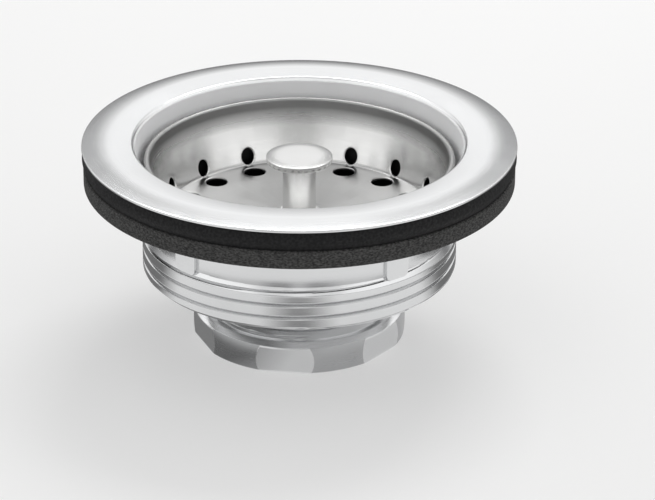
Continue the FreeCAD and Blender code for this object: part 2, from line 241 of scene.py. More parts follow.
def makeThread():
    tree, given, result = newTree("threadBand", dict.fromkeys(threadSizes, float) | {"segments": int})
    span = calc(tree, "SUBTRACT", given["top"], given["bottom"])
    turns = calc(tree, "ADD", calc(tree, "CEIL", calc(tree, "DIVIDE", span, given["pitch"])), spareTurns)
    rows = calc(tree, "MULTIPLY_ADD", turns, rowsPerTurn, 1.0)
    grid, share, row = gridPlaces(tree, given["segments"], rows)
    turnsUp = calc(tree, "DIVIDE", row, rowsPerTurn)
    rise = calc(tree, "ADD", calc(tree, "SUBTRACT", turnsUp, spareTurns), share)
    start = calc(tree, "ADD", given["bottom"], given["phase"])
    level = calc(tree, "MULTIPLY_ADD", rise, given["pitch"], start)
    level = calc(tree, "MINIMUM", calc(tree, "MAXIMUM", level, given["bottom"]), given["top"])
    part = calc(tree, "FRACT", turnsUp)
    offset = calc(tree, "MINIMUM", part, calc(tree, "SUBTRACT", 1.0, part))
    ratio = calc(tree, "DIVIDE", offset, given["groove"])
    dip = calc(tree, "EXPONENT", times(tree, times(tree, ratio, ratio), -1.0))
    radius = calc(tree, "SUBTRACT", given["crest"], times(tree, given["depth"], dip))
    fall = calc(tree, "SUBTRACT", given["crest"], given["ring"])
    toTop = calc(tree, "SUBTRACT", given["top"], level)
    toBottom = calc(tree, "SUBTRACT", level, given["bottom"])
    for gap, length in ((toTop, given["runOut"]), (toBottom, given["chamfer"])):
        inside = calc(tree, "SUBTRACT", 1.0, calc(tree, "DIVIDE", gap, length))
        cut = times(tree, calc(tree, "MAXIMUM", inside, 0.0), fall)
        radius = calc(tree, "MINIMUM", radius, calc(tree, "SUBTRACT", given["crest"], cut))
    angle = times(tree, share, fullTurn)
    tree.links.new(onCylinder(tree, grid, radius, angle, level), result)
    return tree


# A bar along +X with rounded corners
barSizes = ("inner", "outer", "middle", "width", "height", "rounding")
barCornerPoints = 6


def makeBar():
    tree, given, result = newTree("roundedBar", dict.fromkeys(barSizes, float))
    start = put(tree, "ShaderNodeCombineXYZ", given["inner"], None, given["middle"])
    end = put(tree, "ShaderNodeCombineXYZ", given["outer"], None, given["middle"])
    line = put(tree, "GeometryNodeCurvePrimitiveLine", start, end)
    section = put(tree, "GeometryNodeCurvePrimitiveQuadrilateral", given["width"], given["height"])
    section = put(tree, "GeometryNodeFilletCurve", section, barCornerPoints, given["rounding"], mode="POLY")
    tree.links.new(weld(tree, put(tree, "GeometryNodeCurveToMesh", line, section, 1.0, True)), result)
    return tree


# Copies spread evenly about Z
def makeAround():
    tree, given, result = newTree("spreadAround", {"count": int, "firstAngle": float})
    points = put(tree, "GeometryNodePoints", given["count"])
    step = calc(tree, "DIVIDE", fullTurn, given["count"])
    index = put(tree, "GeometryNodeInputIndex")
    angle = calc(tree, "MULTIPLY_ADD", index, step, given["firstAngle"])
    spin = put(tree, "ShaderNodeCombineXYZ", None, None, angle)
    turnBy = put(tree, "FunctionNodeEulerToRotation", spin)
    copies = put(tree, "GeometryNodeInstanceOnPoints", points, None, given["Geometry"], None, None, turnBy)
    tree.links.new(put(tree, "GeometryNodeRealizeInstances", copies), result)
    return tree


# The end of every tree: metres, smooth faces with sharp edges above an angle, one material
def makeFinish():
    tree, given, result = newTree("finishPiece", {"sharpAngle": float, "material": bpy.types.Material})
    scaled = put(tree, "GeometryNodeTransform", given["Geometry"]).node
    scaled.inputs["Scale"].default_value = (mm, mm, mm)
    smooth = put(tree, "GeometryNodeSetShadeSmooth", scaled.outputs[0], None, True, domain="FACE")
    bend = put(tree, "GeometryNodeInputMeshEdgeAngle")
    sharp = put(tree, "FunctionNodeCompare", bend, given["sharpAngle"], operation="GREATER_THAN")
    smooth = put(tree, "GeometryNodeSetShadeSmooth", smooth, sharp, False, domain="EDGE")
    plain = put(tree, "GeometryNodeRealizeInstances", smooth)
    tree.links.new(put(tree, "GeometryNodeSetMaterial", plain, None, given["material"]), result)
    return tree


def runTree(name, source, tree, values):
    maker = source.modifiers.new(name, "NODES")
    maker.node_group = tree
    for item in tree.interface.items_tree:
        if item.in_out == "INPUT" and item.name in values:
            maker[item.identifier] = values[item.name]
    seen = source.evaluated_get(bpy.context.evaluated_depsgraph_get())
    mesh = bpy.data.meshes.new_from_object(seen)
    source.modifiers.remove(maker)
    bpy.data.objects.remove(source)
    piece = bpy.data.objects.new(name, mesh)
    scene.collection.objects.link(piece)
    print("  made", name, len(mesh.polygons), "faces")
    return piece


lathe = makeLathe()
thread = makeThread()
bar = makeBar()
around = makeAround()
finish = makeFinish()


def endTree(tree, given, result, mesh):
    done = useGroup(tree, finish, mesh, sharpAngle=given["sharpAngle"], material=given["material"])
    tree.links.new(done, result)


# A piece that is only turned
def turnedPiece(name, corners, material, closed=True, segments=192):
    values = {"segments": segments, "sharpAngle": softBend, "material": material}
    tree, given, result = newTree(name, values)
    endTree(tree, given, result, useGroup(tree, lathe, given["Geometry"], segments=given["segments"]))
    return runTree(name, outlineObject(name + "Outline", roundedOutline(corners, closed)), tree, values)


def settle(piece, body, slot, *nodes):
    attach(piece, body)
    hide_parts(*nodes)


print("node trees made")


# Small helpers for materials, which work in metres
def newMaterial(name):
    material = bpy.data.materials.new(name)
    material.use_nodes = True
    tree = material.node_tree
    shader = tree.nodes["Principled BSDF"]
    return material, tree, shader


def objectPlace(tree):
    return tree.nodes.new("ShaderNodeTexCoord").outputs["Object"]


usualNoise = (0.3, 0.7)  # where most values of a noise lie


# Noise of a scale in features per metre, on a vector
def noise(tree, vector, scale, detail=3.0):
    node = tree.nodes.new("ShaderNodeTexNoise")
    tree.links.new(vector, node.inputs["Vector"])
    node.inputs["Scale"].default_value = scale
    node.inputs["Detail"].default_value = detail
    return node.outputs["Fac"]


def spread(tree, value, low, high, toLow, toHigh):
    node = tree.nodes.new("ShaderNodeMapRange")
    tree.links.new(value, node.inputs["Value"])
    for label, number in (("From Min", low), ("From Max", high), ("To Min", toLow), ("To Max", toHigh)):
        node.inputs[label].default_value = number
    return node.outputs[0]


def blendColors(tree, share, first, second):
    node = tree.nodes.new("ShaderNodeMix")
    node.data_type = "RGBA"
    tree.links.new(share, node.inputs[0])
    for socket, color in ((node.inputs[6], first), (node.inputs[7], second)):  # its two color inputs
        if isinstance(color, bpy.types.NodeSocket):
            tree.links.new(color, socket)
        else:
            socket.default_value = (*color, 1)
    return node.outputs[2]


def bump(tree, shader, height, strength, distance):
    node = tree.nodes.new("ShaderNodeBump")
    node.inputs["Strength"].default_value = strength
    node.inputs["Distance"].default_value = distance
    tree.links.new(height, node.inputs["Height"])
    tree.links.new(node.outputs[0], shader.inputs["Normal"])


# Radius and level of a point: a pattern on them runs round the axis as turning marks do
def turnedPlace(tree, place):
    part = put(tree, "ShaderNodeSeparateXYZ", place).node.outputs
    squares = [times(tree, part[label], part[label]) for label in "XY"]
    return calc(tree, "SQRT", calc(tree, "ADD", *squares)), part["Z"]


# Shares that fade across a soft edge
def within(tree, value, edge, soft):
    return spread(tree, value, edge, edge + soft, 1.0, 0.0)


def beyond(tree, value, edge, soft):
    return spread(tree, value, edge, edge + soft, 0.0, 1.0)


# Share of the mouth's wall at a point of the body, which is painted lighter as if lit, with a satin
# roughness
def inMouth(tree, radius, level, inside):
    soft = inside["softEdge"]
    aboveNeck = beyond(tree, level, inside["mouthBottom"], soft)
    return times(tree, within(tree, radius, inside["mouth"], soft), aboveNeck)


# Share of the painted shade inside at a point: within the bowl above its floor, and within the outlet,
# painted near black where shade falls
def paintedShadeInside(tree, radius, level, inside):
    soft = inside["softEdge"]
    inBowl = within(tree, radius, inside["bowl"], soft)
    aboveFloor = beyond(tree, level, inside["floor"], soft)
    inOutlet = within(tree, radius, inside["outlet"], soft)
    return calc(tree, "MAXIMUM", times(tree, inBowl, aboveFloor), inOutlet)


# Share of the nut's painted light at a point: flats at one distance from the axis, which the rest lies
# within, and the rim above them, both painted lighter as if lit
def paintedLightOnFlats(tree, place, radius, level, flats):
    part = put(tree, "ShaderNodeSeparateXYZ", place).node.outputs
    angle = calc(tree, "ARCTAN2", part["Y"], part["X"])
    step = fullTurn / flats["count"]
    turnedBy = calc(tree, "ADD", angle, 2 * fullTurn + step / 2 - flats["first"])  # kept above zero
    offset = calc(tree, "SUBTRACT", calc(tree, "MODULO", turnedBy, step), step / 2)
    distance = times(tree, radius, calc(tree, "COSINE", offset))
    flat = beyond(tree, distance, flats["distance"] - flats["softEdge"], flats["softEdge"])
    rim = beyond(tree, level, flats["rimBottom"], flats["softEdge"])
    return calc(tree, "MAXIMUM", flat, rim)


# Share of the cup's painted shade: its floor, and a band that fades out downwards from the hem, both painted
# darker where shade falls, with a rougher finish
def paintedShadeParts(tree, level, paintedShade):
    band = spread(tree, level, paintedShade["bandBottom"], paintedShade["bandTop"], 0.0, 1.0)
    onFloor = spread(tree, level, paintedShade["floor"], paintedShade["floor"] + paintedShade["fade"], paintedShade["floorShare"], 0.0)
    return calc(tree, "MAXIMUM", band, onFloor)


# Metal with turning marks and soft clouds, and painted shade and painted light on parts of it, with their
# own roughness
def turnedMetal(name, look, inside=None, flats=None, paintedShade=None):
    material, tree, shader = newMaterial(name)
    place = objectPlace(tree)
    radius, level = turnedPlace(tree, place)
    lines = noise(tree, put(tree, "ShaderNodeCombineXYZ", radius, None, level), look["linesPerMetre"])
    clouds = noise(tree, place, look["cloudsPerMetre"])
    cloudPart = times(tree, clouds, 1 - look["lineShare"])
    mixed = calc(tree, "MULTIPLY_ADD", lines, look["lineShare"], cloudPart)
    rough = spread(tree, mixed, *usualNoise, *look["roughness"])
    color = blendColors(tree, clouds, look["dark"], look["light"])
    if inside:
        # Painted light on the mouth's wall, and painted shade inside the bowl and the outlet
        mouth = inMouth(tree, radius, level, inside)
        insideShade = paintedShadeInside(tree, radius, level, inside)
        for share, roughness, tone in ((mouth, inside["mouthRoughness"], inside["mouthPaintedLight"]),
                                       (insideShade, inside["roughness"], inside["color"])):
            rough = calc(tree, "MAXIMUM", rough, times(tree, share, roughness))
            color = blendColors(tree, share, color, tone)
    # Patches: painted light on the nut's flats and rim, painted shade on the cup's floor and under its hem
    patches = []
    if flats:
        patches.append((paintedLightOnFlats(tree, place, radius, level, flats), flats))
    if paintedShade:
        patches.append((paintedShadeParts(tree, level, paintedShade), paintedShade))
    for share, patch in patches:
        rough = calc(tree, "MULTIPLY_ADD", share, patch["roughness"] - look["roughness"][1], rough)
        color = blendColors(tree, share, color, patch["color"])
    tree.links.new(rough, shader.inputs["Roughness"])
    tree.links.new(color, shader.inputs["Base Color"])
    shader.inputs["Metallic"].default_value = 1.0
    shader.inputs["Anisotropic"].default_value = look["anisotropic"]
    tangent = tree.nodes.new("ShaderNodeTangent")
    tangent.direction_type = "RADIAL"
    tangent.axis = "Z"
    tree.links.new(tangent.outputs[0], shader.inputs["Tangent"])
    bump(tree, shader, lines, look["lineStrength"], look["lineDepth"])
    return material


# A dull material whose grain gives its roughness and bump, with colors that follow a pattern
def grainedMaterial(material, tree, shader, look, grain, pattern):
    shade = spread(tree, pattern, *look["patternRange"], 0.0, 1.0)
    tree.links.new(blendColors(tree, shade, look["dark"], look["light"]), shader.inputs["Base Color"])
    rough = spread(tree, grain, *usualNoise, *look["roughness"])
    tree.links.new(rough, shader.inputs["Roughness"])
    shader.inputs["Specular IOR Level"].default_value = look["specular"]
    bump(tree, shader, grain, look["grainStrength"], look["grainDepth"])
    return material


def mouldedRubber(name, look):
    material, tree, shader = newMaterial(name)
    place = objectPlace(tree)
    grain = noise(tree, place, look["grainPerMetre"], look["grainDetail"])
    bloom = noise(tree, place, look["bloomPerMetre"])
    return grainedMaterial(material, tree, shader, look, grain, bloom)


# Pressed fibre: flecks that lie flat, wider than they are tall
def pressedFibre(name, look):
    material, tree, shader = newMaterial(name)
    flat = tree.nodes.new("ShaderNodeMapping")
    tree.links.new(objectPlace(tree), flat.inputs["Vector"])
    flat.inputs["Scale"].default_value = (1, 1, look["flatness"])
    flecks = noise(tree, flat.outputs[0], look["grainPerMetre"], look["grainDetail"])
    return grainedMaterial(material, tree, shader, look, flecks, flecks)


# Cast body: flange, bowl, threaded barrel with ribs, outlet with its cross bars, spigot
barTop = nutTop + 11.1  # of the cross bars and their hub
barHeight = 4.0
body = {
    "segments": 256,
    "sharpAngle": softBend,
    "barrelCrest": 41.5,
    "barrelRing": 40.3,  # plain barrel, which the thread runs out to
    "barrelDepth": 1.0,
    "barrelGroove": 0.08,  # half width of a groove, as a share of the pitch
    "barrelPitch": 3.5,
    "barrelPhase": 1.2,
    "barrelBottom": nutTop + 10.5,
    "barrelTop": nutTop + 22.3,
    "barrelChamfer": 1.1,
    "barrelRunOut": 2.0,
    "spigotCrest": 23.9,
    "spigotRing": 22.0,
    "spigotDepth": 1.0,
    "spigotGroove": 0.16,
    "spigotPitch": 2.309,
    "spigotPhase": 0.6,
    "spigotBottom": spigotEnd,
    "spigotTop": nutTop + 0.7,
    "spigotChamfer": 1.4,
    "spigotRunOut": 1.4,
    "ribInner": 39.6,
    "ribOuter": 41.15,
    "ribWidth": 7.1,
    "ribMiddle": nutTop + 26.9,
    "ribHeight": 11.4,
    "ribRounding": 1.6,
    "ribSpread": math.radians(83.2),  # between the two ribs of a pair
    "ribFront": math.radians(-93.9),  # middle of the front pair
    "ribPairs": 2,
    "barCount": 4,
    "barInner": 5.0,
    "barOuter": 19.4,
    "barWidth": 3.2,
    "barHeight": barHeight,
    "barRounding": 1.1,
    "barMiddle": barTop - barHeight / 2,
    "hubSegments": 64,
    "outline": {
        "shoulderEnd": nutTop + 31.6,
        "shoulderRounding": 1.5,
        "neck": 44.2,
        "neckEnd": nutTop + 34.0,
        "neckRounding": 1.0,
        "flangeInset": 0.02,  # within the frame's flange
        "flangeUnderRounding": 0.2,
        "flangeEdge": 0.7,
        "flangeEdgeRounding": 0.4,
        "crownRadius": 51.5,
        "crownHeight": 1.48,
        "crownRounding": 30.0,
        "lipRadius": 43.7,
        "lipHeight": 1.0,
        "lipRounding": 0.8,
        "mouth": 43.0,
        "mouthHeight": 0.08,
        "mouthRounding": 0.6,
        "mouthWall": 41.7,
        "mouthWallEnd": seatLevel - 9.6,
        "wallRounding": 3.0,
        "bowl": 39.1,
        "bowlTop": nutTop + 32.0,
        "bowlFloor": nutTop + 13.7,
        "bowlRounding": 2.5,
        "floorFall": 1.1,
        "seatOuter": 26.0,
        "seatOuterRounding": 6.0,
        "seatInner": 20.4,
        "seatRounding": 0.6,
        "outlet": 18.4,
        "outletFall": 2.0,
        "socket": 19.4,
        "socketTop": spigotEnd + 5.0,
        "socketTopRounding": 0.2,
        "socketRounding": 0.25,
        "barrelFootRounding": 1.6,
        "hub": 6.5,
        "hubBore": 3.6,
        "hubHeight": 5.0,
        "hubBoreRounding": 0.6,
        "hubFootRounding": 1.0,
        "hubTopRounding": 0.5,
    },
}
bodyChrome = {
    "dark": (0.66, 0.665, 0.67),
    "light": (0.76, 0.765, 0.77),
    "roughness": (0.12, 0.22),
    "linesPerMetre": 2600.0,
    "lineShare": 0.6,
    "lineStrength": 0.08,
    "lineDepth": 0.00003,
    "cloudsPerMetre": 60.0,
    "anisotropic": 0.4,
}
# Painted shade: the inside of the bowl above its floor and the outlet are painted near black; painted light:
# the mouth's wall is painted lighter
insideShadeAndLight = {
    "bowl": (body["outline"]["bowl"] + 0.3) * mm,
    "floor": (body["outline"]["bowlFloor"] - 3.0) * mm,
    "outlet": (body["outline"]["outlet"] + 0.7) * mm,
    "softEdge": 0.4 * mm,
    "color": (0.035, 0.035, 0.036),
    "roughness": 0.6,
    # Painted light: the mouth's wall is painted lighter than the rest of the chrome, as if lit
    "mouth": (body["outline"]["mouth"] + 0.1) * mm,
    "mouthBottom": (body["outline"]["mouthWallEnd"] - 0.3) * mm,
    "mouthPaintedLight": (0.96, 0.962, 0.965),
    "mouthRoughness": 0.8,
}
chromeMaterial = turnedMetal("bodyChrome", bodyChrome, inside=insideShadeAndLight)


# From the barrel's thread up over the flange, and down the inside to the end of the spigot
def upperOutline(form):
    flange = radiusOf("strainer_body") - form["flangeInset"]
    return roundedOutline([
        (body["barrelRing"], body["barrelTop"]),
        (body["barrelRing"], form["shoulderEnd"], form["shoulderRounding"]),
        (form["neck"], form["neckEnd"], form["neckRounding"]),
        (form["neck"], seatLevel),
        (flange, seatLevel, form["flangeUnderRounding"]),
        (flange, seatLevel + form["flangeEdge"], form["flangeEdgeRounding"]),
        (form["crownRadius"], seatLevel + form["crownHeight"], form["crownRounding"]),
        (form["lipRadius"], seatLevel + form["lipHeight"], form["lipRounding"]),
        (form["mouth"], seatLevel + form["mouthHeight"], form["mouthRounding"]),
        (form["mouthWall"], form["mouthWallEnd"], form["wallRounding"]),
        (form["bowl"], form["bowlTop"], form["wallRounding"]),
        (form["bowl"], form["bowlFloor"] + form["floorFall"], form["bowlRounding"]),
        (form["seatOuter"], form["bowlFloor"], form["seatOuterRounding"]),
        (form["seatInner"], form["bowlFloor"], form["seatRounding"]),
        (form["outlet"], form["bowlFloor"] - form["outletFall"], form["seatRounding"]),
        (form["outlet"], form["socketTop"], form["socketTopRounding"]),
        (form["socket"], form["socketTop"]),
        (form["socket"], spigotEnd, form["socketRounding"]),
        (body["spigotRing"], spigotEnd),
    ], closed=False)


# Between the two threads
def lowerOutline(form):
    return roundedOutline([
        (body["spigotRing"], body["spigotTop"]),
        (body["spigotRing"], body["barrelBottom"], form["barrelFootRounding"]),
        (body["barrelRing"], body["barrelBottom"]),
    ], closed=False)


def hubOutline(form):
    bottom = barTop - form["hubHeight"]
    return roundedOutline([
        (form["hubBore"], bottom, form["hubBoreRounding"]),
        (form["hub"], bottom, form["hubFootRounding"]),
        (form["hub"], barTop, form["hubTopRounding"]),
        (form["hubBore"], barTop, form["hubBoreRounding"]),
    ])


def makeBody():
    form = body["outline"]
    rims = {
        "lowerRim": outlineObject("bodyLowerOutline", lowerOutline(form)),
        "hubRim": outlineObject("bodyHubOutline", hubOutline(form)),
    }
    values = dict(body, **rims, material=chromeMaterial)
    tree, given, result = newTree("strainerBody", values)
    segments = given["segments"]
    bands = []
    for place in ("barrel", "spigot"):
        bands.append(useGroup(tree, thread, None, segments=segments, **feedsFor(given, place, threadSizes)))
    rimShapes = (given["Geometry"], outlineOf(tree, given["lowerRim"]))
    shells = [useGroup(tree, lathe, rim, segments=segments) for rim in rimShapes]
    shell = weld(tree, joinAll(tree, *shells, *bands))
    rib = useGroup(tree, bar, None, **feedsFor(given, "rib", barSizes))
    added = []
    for side in (-0.5, 0.5):
        first = calc(tree, "MULTIPLY_ADD", given["ribSpread"], side, given["ribFront"])
        added.append(useGroup(tree, around, rib, count=given["ribPairs"], firstAngle=first))
    crossBar = useGroup(tree, bar, None, **feedsFor(given, "bar", barSizes))
    added.append(useGroup(tree, around, crossBar, count=given["barCount"]))
    added.append(useGroup(tree, lathe, outlineOf(tree, given["hubRim"]), segments=given["hubSegments"]))
    whole = shell
    for part in added:
        whole = combine(tree, "UNION", whole, part)
    endTree(tree, given, result, whole)
    piece = runTree("strainerBody", outlineObject("bodyUpperOutline", upperOutline(form)), tree, values)
    for rim in rims.values():
        bpy.data.objects.remove(rim)
    settle(piece, "body", "bright_chrome", "strainer_body")


makeBody()
print("body made")

# Washers under the flange
washers = {
    "bore": 44.25,
    "gasketEdge": 56.0,
    "gasketEdgeRounding": 0.3,
    "gasketBulge": 57.1,
    "gasketRounding": 2.4,
    "fibreRounding": 0.5,
    "fibreBoreRounding": 0.2,
}
blackRubber = {
    "dark": (0.006, 0.006, 0.0065),
    "light": (0.02, 0.02, 0.0205),
    "patternRange": (0.4, 0.7),
    "roughness": (0.55, 0.75),
    "specular": 0.25,
    "grainPerMetre": 1800.0,
    "grainDetail": 4.0,
    "grainStrength": 0.35,
    "grainDepth": 0.00008,
    "bloomPerMetre": 1400.0,
}
greyFibre = {
    "dark": (0.025, 0.025, 0.025),
    "light": (0.12, 0.119, 0.117),
    "patternRange": (0.35, 0.68),
    "roughness": (0.8, 0.95),
    "specular": 0.2,
    "flatness": 2.0,
    "grainPerMetre": 1500.0,
    "grainDetail": 5.0,
    "grainStrength": 0.3,
    "grainDepth": 0.00008,
}
rubberMaterial = mouldedRubber("blackRubber", blackRubber)
fibreMaterial = pressedFibre("greyFibre", greyFibre)


def makeWashers():
    form = washers
    gasketMiddle = (gasketBottom + seatLevel) / 2
    gasket = turnedPiece("rubberGasket", [
        (form["bore"], gasketBottom),
        (form["gasketEdge"], gasketBottom, form["gasketEdgeRounding"]),
        (form["gasketBulge"], gasketMiddle, form["gasketRounding"]),
        (form["gasketEdge"], seatLevel, form["gasketEdgeRounding"]),
        (form["bore"], seatLevel),
    ], rubberMaterial)
    settle(gasket, "body", "black_rubber", "rubber_gasket")
    fibreEdge = radiusOf("fibre_washer")
    fibre = turnedPiece("fibreWasher", [
        (form["bore"], fibreBottom, form["fibreBoreRounding"]),
        (fibreEdge, fibreBottom, form["fibreRounding"]),
        (fibreEdge, gasketBottom, form["fibreRounding"]),
        (form["bore"], gasketBottom),
    ], fibreMaterial)
    settle(fibre, "body", "grey_fibre", "fibre_washer")


makeWashers()
print("washers made")

# Slip nut with flats, and its washer
nut = {
    "segments": 256,
    "sharpAngle": math.radians(9),
    "flatCount": 6,
    "flatDistance": 27.15,
    "firstFlat": math.radians(-98.0),
    "flatTop": nutTop - 1.65,  # a round rim is left above the flats
    "flatSize": 40.0,
    "outline": {
        "lipBore": 19.9,
        "lipBoreRounding": 0.3,
        "lip": 1.9,
        "lipRounding": 0.2,
        "base": 28.0,
        "baseRounding": 0.5,
        "bulge": 28.3,
        "bulgeRounding": 24.0,
        "shoulder": 27.9,
        "shoulderRounding": 0.25,
        "topChamfer": 1.25,
        "top": 26.4,
        "topRounding": 0.3,
        "thread": 24.0,
        "threadEntry": 0.8,
        "entryRounding": 0.2,
    },
}
slipWasher = {
    "bore": 19.7,
    "rounding": 0.3,
}
nutChrome = dict(bodyChrome, dark=(0.4, 0.404, 0.41), light=(0.54, 0.544, 0.55), roughness=(0.24, 0.36),
                 linesPerMetre=1500.0, lineStrength=0.02, anisotropic=0.0)
# Painted light: the nut's flats and the rim above them are painted lighter than the rest of the nut, as if
# lit
nutFlatsPaintedLight = {
    "count": nut["flatCount"],
    "first": nut["firstFlat"],
    "distance": (nut["flatDistance"] - 0.02) * mm,
    "rimBottom": (nutTop - 1.2) * mm,
    "softEdge": 0.04 * mm,
    "color": (0.72, 0.724, 0.73),
    "roughness": 0.25,
}
nutMaterial = turnedMetal("nutChrome", nutChrome, flats=nutFlatsPaintedLight)


def nutOutline(form):
    shoulderLevel = nutTop - form["topChamfer"]
    return roundedOutline([
        (form["lipBore"], 0, form["lipBoreRounding"]),
        (form["base"], 0, form["baseRounding"]),
        (form["bulge"], shoulderLevel / 2, form["bulgeRounding"]),
        (form["shoulder"], shoulderLevel, form["shoulderRounding"]),
        (form["top"], nutTop, form["topRounding"]),
        (form["thread"] + form["threadEntry"], nutTop, form["entryRounding"]),
        (form["thread"], nutTop - form["threadEntry"]),
        (form["thread"], form["lip"]),
        (form["lipBore"], form["lip"], form["lipRounding"]),
    ])


def makeNut():
    values = dict(nut, material=nutMaterial)
    tree, given, result = newTree("slipNut", values)
    ring = useGroup(tree, lathe, given["Geometry"], segments=given["segments"])
    size = given["flatSize"]
    block = put(tree, "GeometryNodeMeshCube", put(tree, "ShaderNodeCombineXYZ", size, size, size))
    outwards = calc(tree, "MULTIPLY_ADD", size, 0.5, given["flatDistance"])
    downwards = calc(tree, "MULTIPLY_ADD", size, -0.5, given["flatTop"])
    away = put(tree, "ShaderNodeCombineXYZ", outwards, None, downwards)
    waste = put(tree, "GeometryNodeTransform", block).node
    tree.links.new(away, waste.inputs["Translation"])
    wastes = useGroup(tree, around, waste.outputs[0], count=given["flatCount"],
                      firstAngle=given["firstFlat"])
    endTree(tree, given, result, combine(tree, "DIFFERENCE", ring, wastes))
    piece = runTree("slipNut", outlineObject("nutOutline", nutOutline(nut["outline"])), tree, values)
    settle(piece, "nut", "nut_chrome", "slip_nut")


def makeSlipWasher():
    edge = radiusOf("slip_washer")
    under = nut["outline"]["lip"]
    bore = slipWasher["bore"]
    rounding = slipWasher["rounding"]
    washer = turnedPiece("slipWasher", [
        (bore, under, rounding),
        (edge, under, rounding),
        (edge, spigotEnd, rounding),
        (bore, spigotEnd, rounding),
    ], rubberMaterial)
    settle(washer, "slip_ring", "black_rubber", "slip_washer")


makeNut()
makeSlipWasher()
print("nut made")

# Basket cup: pressed sheet with a rolled rim and punched holes
cupSheet = 0.8
cup = {
    "segments": 256,
    "sharpAngle": softBend,
    "holeCount": 16,
    "firstHole": math.radians(90),
    "wallHoleWidth": 3.5,
    "wallHoleHeight": 4.6,
    "wallHoleLevel": basketFloor + 3.25,
    "wallInner": 36.6,  # inside of the wall at the holes
    "wallTilt": math.atan2(1.9, 8.7),  # how far the wall leans out over its rise
    "floorHole": 5.8,
    "floorHoleCircle": 31.6,
    "floorTop": basketFloor + cupSheet,
    "punchSegments": 40,
    "outline": {
        "studHole": 2.6,
        "wallFoot": 36.7,
        "wallFootInner": 36.06,
        "cornerRounding": 1.3,
        "wallEnd": basketRim - 3.0,
        "wallEndInner": basketRim - 2.9,
        "neckRounding": 7.0,
        "rimHeight": 2.2,
        "rimThickness": 1.6,
        "rimRounding": 0.75,
        "hemRounding": 0.2,
    },
    "punch": {
        "flare": 0.35,
        "flareSteps": 5,
        "depth": 3.0,
        "entry": 1.5,
    },
}
basketSteel = dict(bodyChrome, dark=(0.62, 0.62, 0.615), light=(0.72, 0.72, 0.715), roughness=(0.14, 0.24),
                   linesPerMetre=1700.0, lineStrength=0.05)
# Painted light: the cup's steel is a lighter copy of the basket's steel, to stand in for light inside the
# cup
cupSteel = dict(basketSteel, dark=(0.84, 0.84, 0.835), light=(0.93, 0.93, 0.925))
# Painted shade: the cup's floor and a band under the hem are painted dark grey where shade falls; the higher
# roughness there is real
cupPaintedShade = {
    "floor": (cup["floorTop"] + 0.1) * mm,
    "floorShare": 0.8,
    "bandBottom": (basketRim - 7.4) * mm,
    "bandTop": (basketRim - 2.4) * mm,
    "fade": 1.0 * mm,
    "color": (0.32, 0.32, 0.318),
    "roughness": 0.4,
}
basketMaterial = turnedMetal("basketSteel", basketSteel)
cupMaterial = turnedMetal("cupSteel", cupSteel, paintedShade=cupPaintedShade)


def cupOutline(form):
    rimOuter = radiusOf("basket_cup")
    rimInner = rimOuter - form["rimThickness"]
    rimBottom = basketRim - form["rimHeight"]
    wallTop = rimInner + cupSheet
    return roundedOutline([
        (form["studHole"], basketFloor),
        (form["wallFoot"], basketFloor, form["cornerRounding"]),
        (wallTop, form["wallEnd"], form["neckRounding"]),
        (wallTop, rimBottom, form["hemRounding"]),
        (rimOuter, rimBottom, form["rimRounding"]),
        (rimOuter, basketRim, form["rimRounding"]),
        (rimInner, basketRim, form["rimRounding"]),
        (rimInner, form["wallEndInner"], form["neckRounding"]),
        (form["wallFootInner"], cup["floorTop"], form["cornerRounding"] - cupSheet),
        (form["studHole"], cup["floorTop"]),
    ])


# A punch along +Z: parallel below zero, and flared where it enters the sheet
def punchOutline(radius, punch):
    flare = punch["flare"]
    corners = [(0, -punch["depth"]), (radius, -punch["depth"]), (radius, -flare)]
    for k in range(1, punch["flareSteps"] + 1):
        turn = k * math.pi / 2 / punch["flareSteps"]
        corners.append((radius + flare * (1 - math.cos(turn)), -flare + flare * math.sin(turn)))
    corners += [(radius + flare, punch["entry"]), (0, punch["entry"])]
    return [Vector(corner) for corner in corners]


def makeCup():
    punches = {
        "wallPunch": outlineObject("wallPunchOutline", punchOutline(cup["wallHoleWidth"] / 2, cup["punch"])),
        "floorPunch": outlineObject("floorPunchOutline", punchOutline(cup["floorHole"] / 2, cup["punch"])),
    }
    values = dict(cup, **punches, material=cupMaterial)
    tree, given, result = newTree("basketCup", values)
    shell = useGroup(tree, lathe, given["Geometry"], segments=given["segments"])
    tools = []
    for label in punches:
        punch = useGroup(tree, lathe, outlineOf(tree, given[label]), segments=given["punchSegments"])
        tools.append(put(tree, "GeometryNodeTransform", punch).node)
    wallTool, floorTool = tools
    stretch = calc(tree, "DIVIDE", given["wallHoleHeight"], given["wallHoleWidth"])
    tree.links.new(put(tree, "ShaderNodeCombineXYZ", stretch, 1.0, 1.0), wallTool.inputs["Scale"])
    lean = calc(tree, "SUBTRACT", given["wallTilt"], math.pi / 2)
    tree.links.new(put(tree, "ShaderNodeCombineXYZ", None, lean, None), wallTool.inputs["Rotation"])
    wallPlace = put(tree, "ShaderNodeCombineXYZ", given["wallInner"], None, given["wallHoleLevel"])
    tree.links.new(wallPlace, wallTool.inputs["Translation"])
    floorPlace = put(tree, "ShaderNodeCombineXYZ", given["floorHoleCircle"], None, given["floorTop"])
    tree.links.new(floorPlace, floorTool.inputs["Translation"])
    cut = shell
    for tool in tools:
        holes = useGroup(tree, around, tool.outputs[0], count=given["holeCount"],
                         firstAngle=given["firstHole"])
        cut = combine(tree, "DIFFERENCE", cut, holes)
    endTree(tree, given, result, cut)
    piece = runTree("basketCup", outlineObject("cupOutline", cupOutline(cup["outline"])), tree, values)
    for helper in punches.values():
        bpy.data.objects.remove(helper)
    settle(piece, "basket", "basket_steel", "basket_cup")


makeCup()
print("basket cup made")

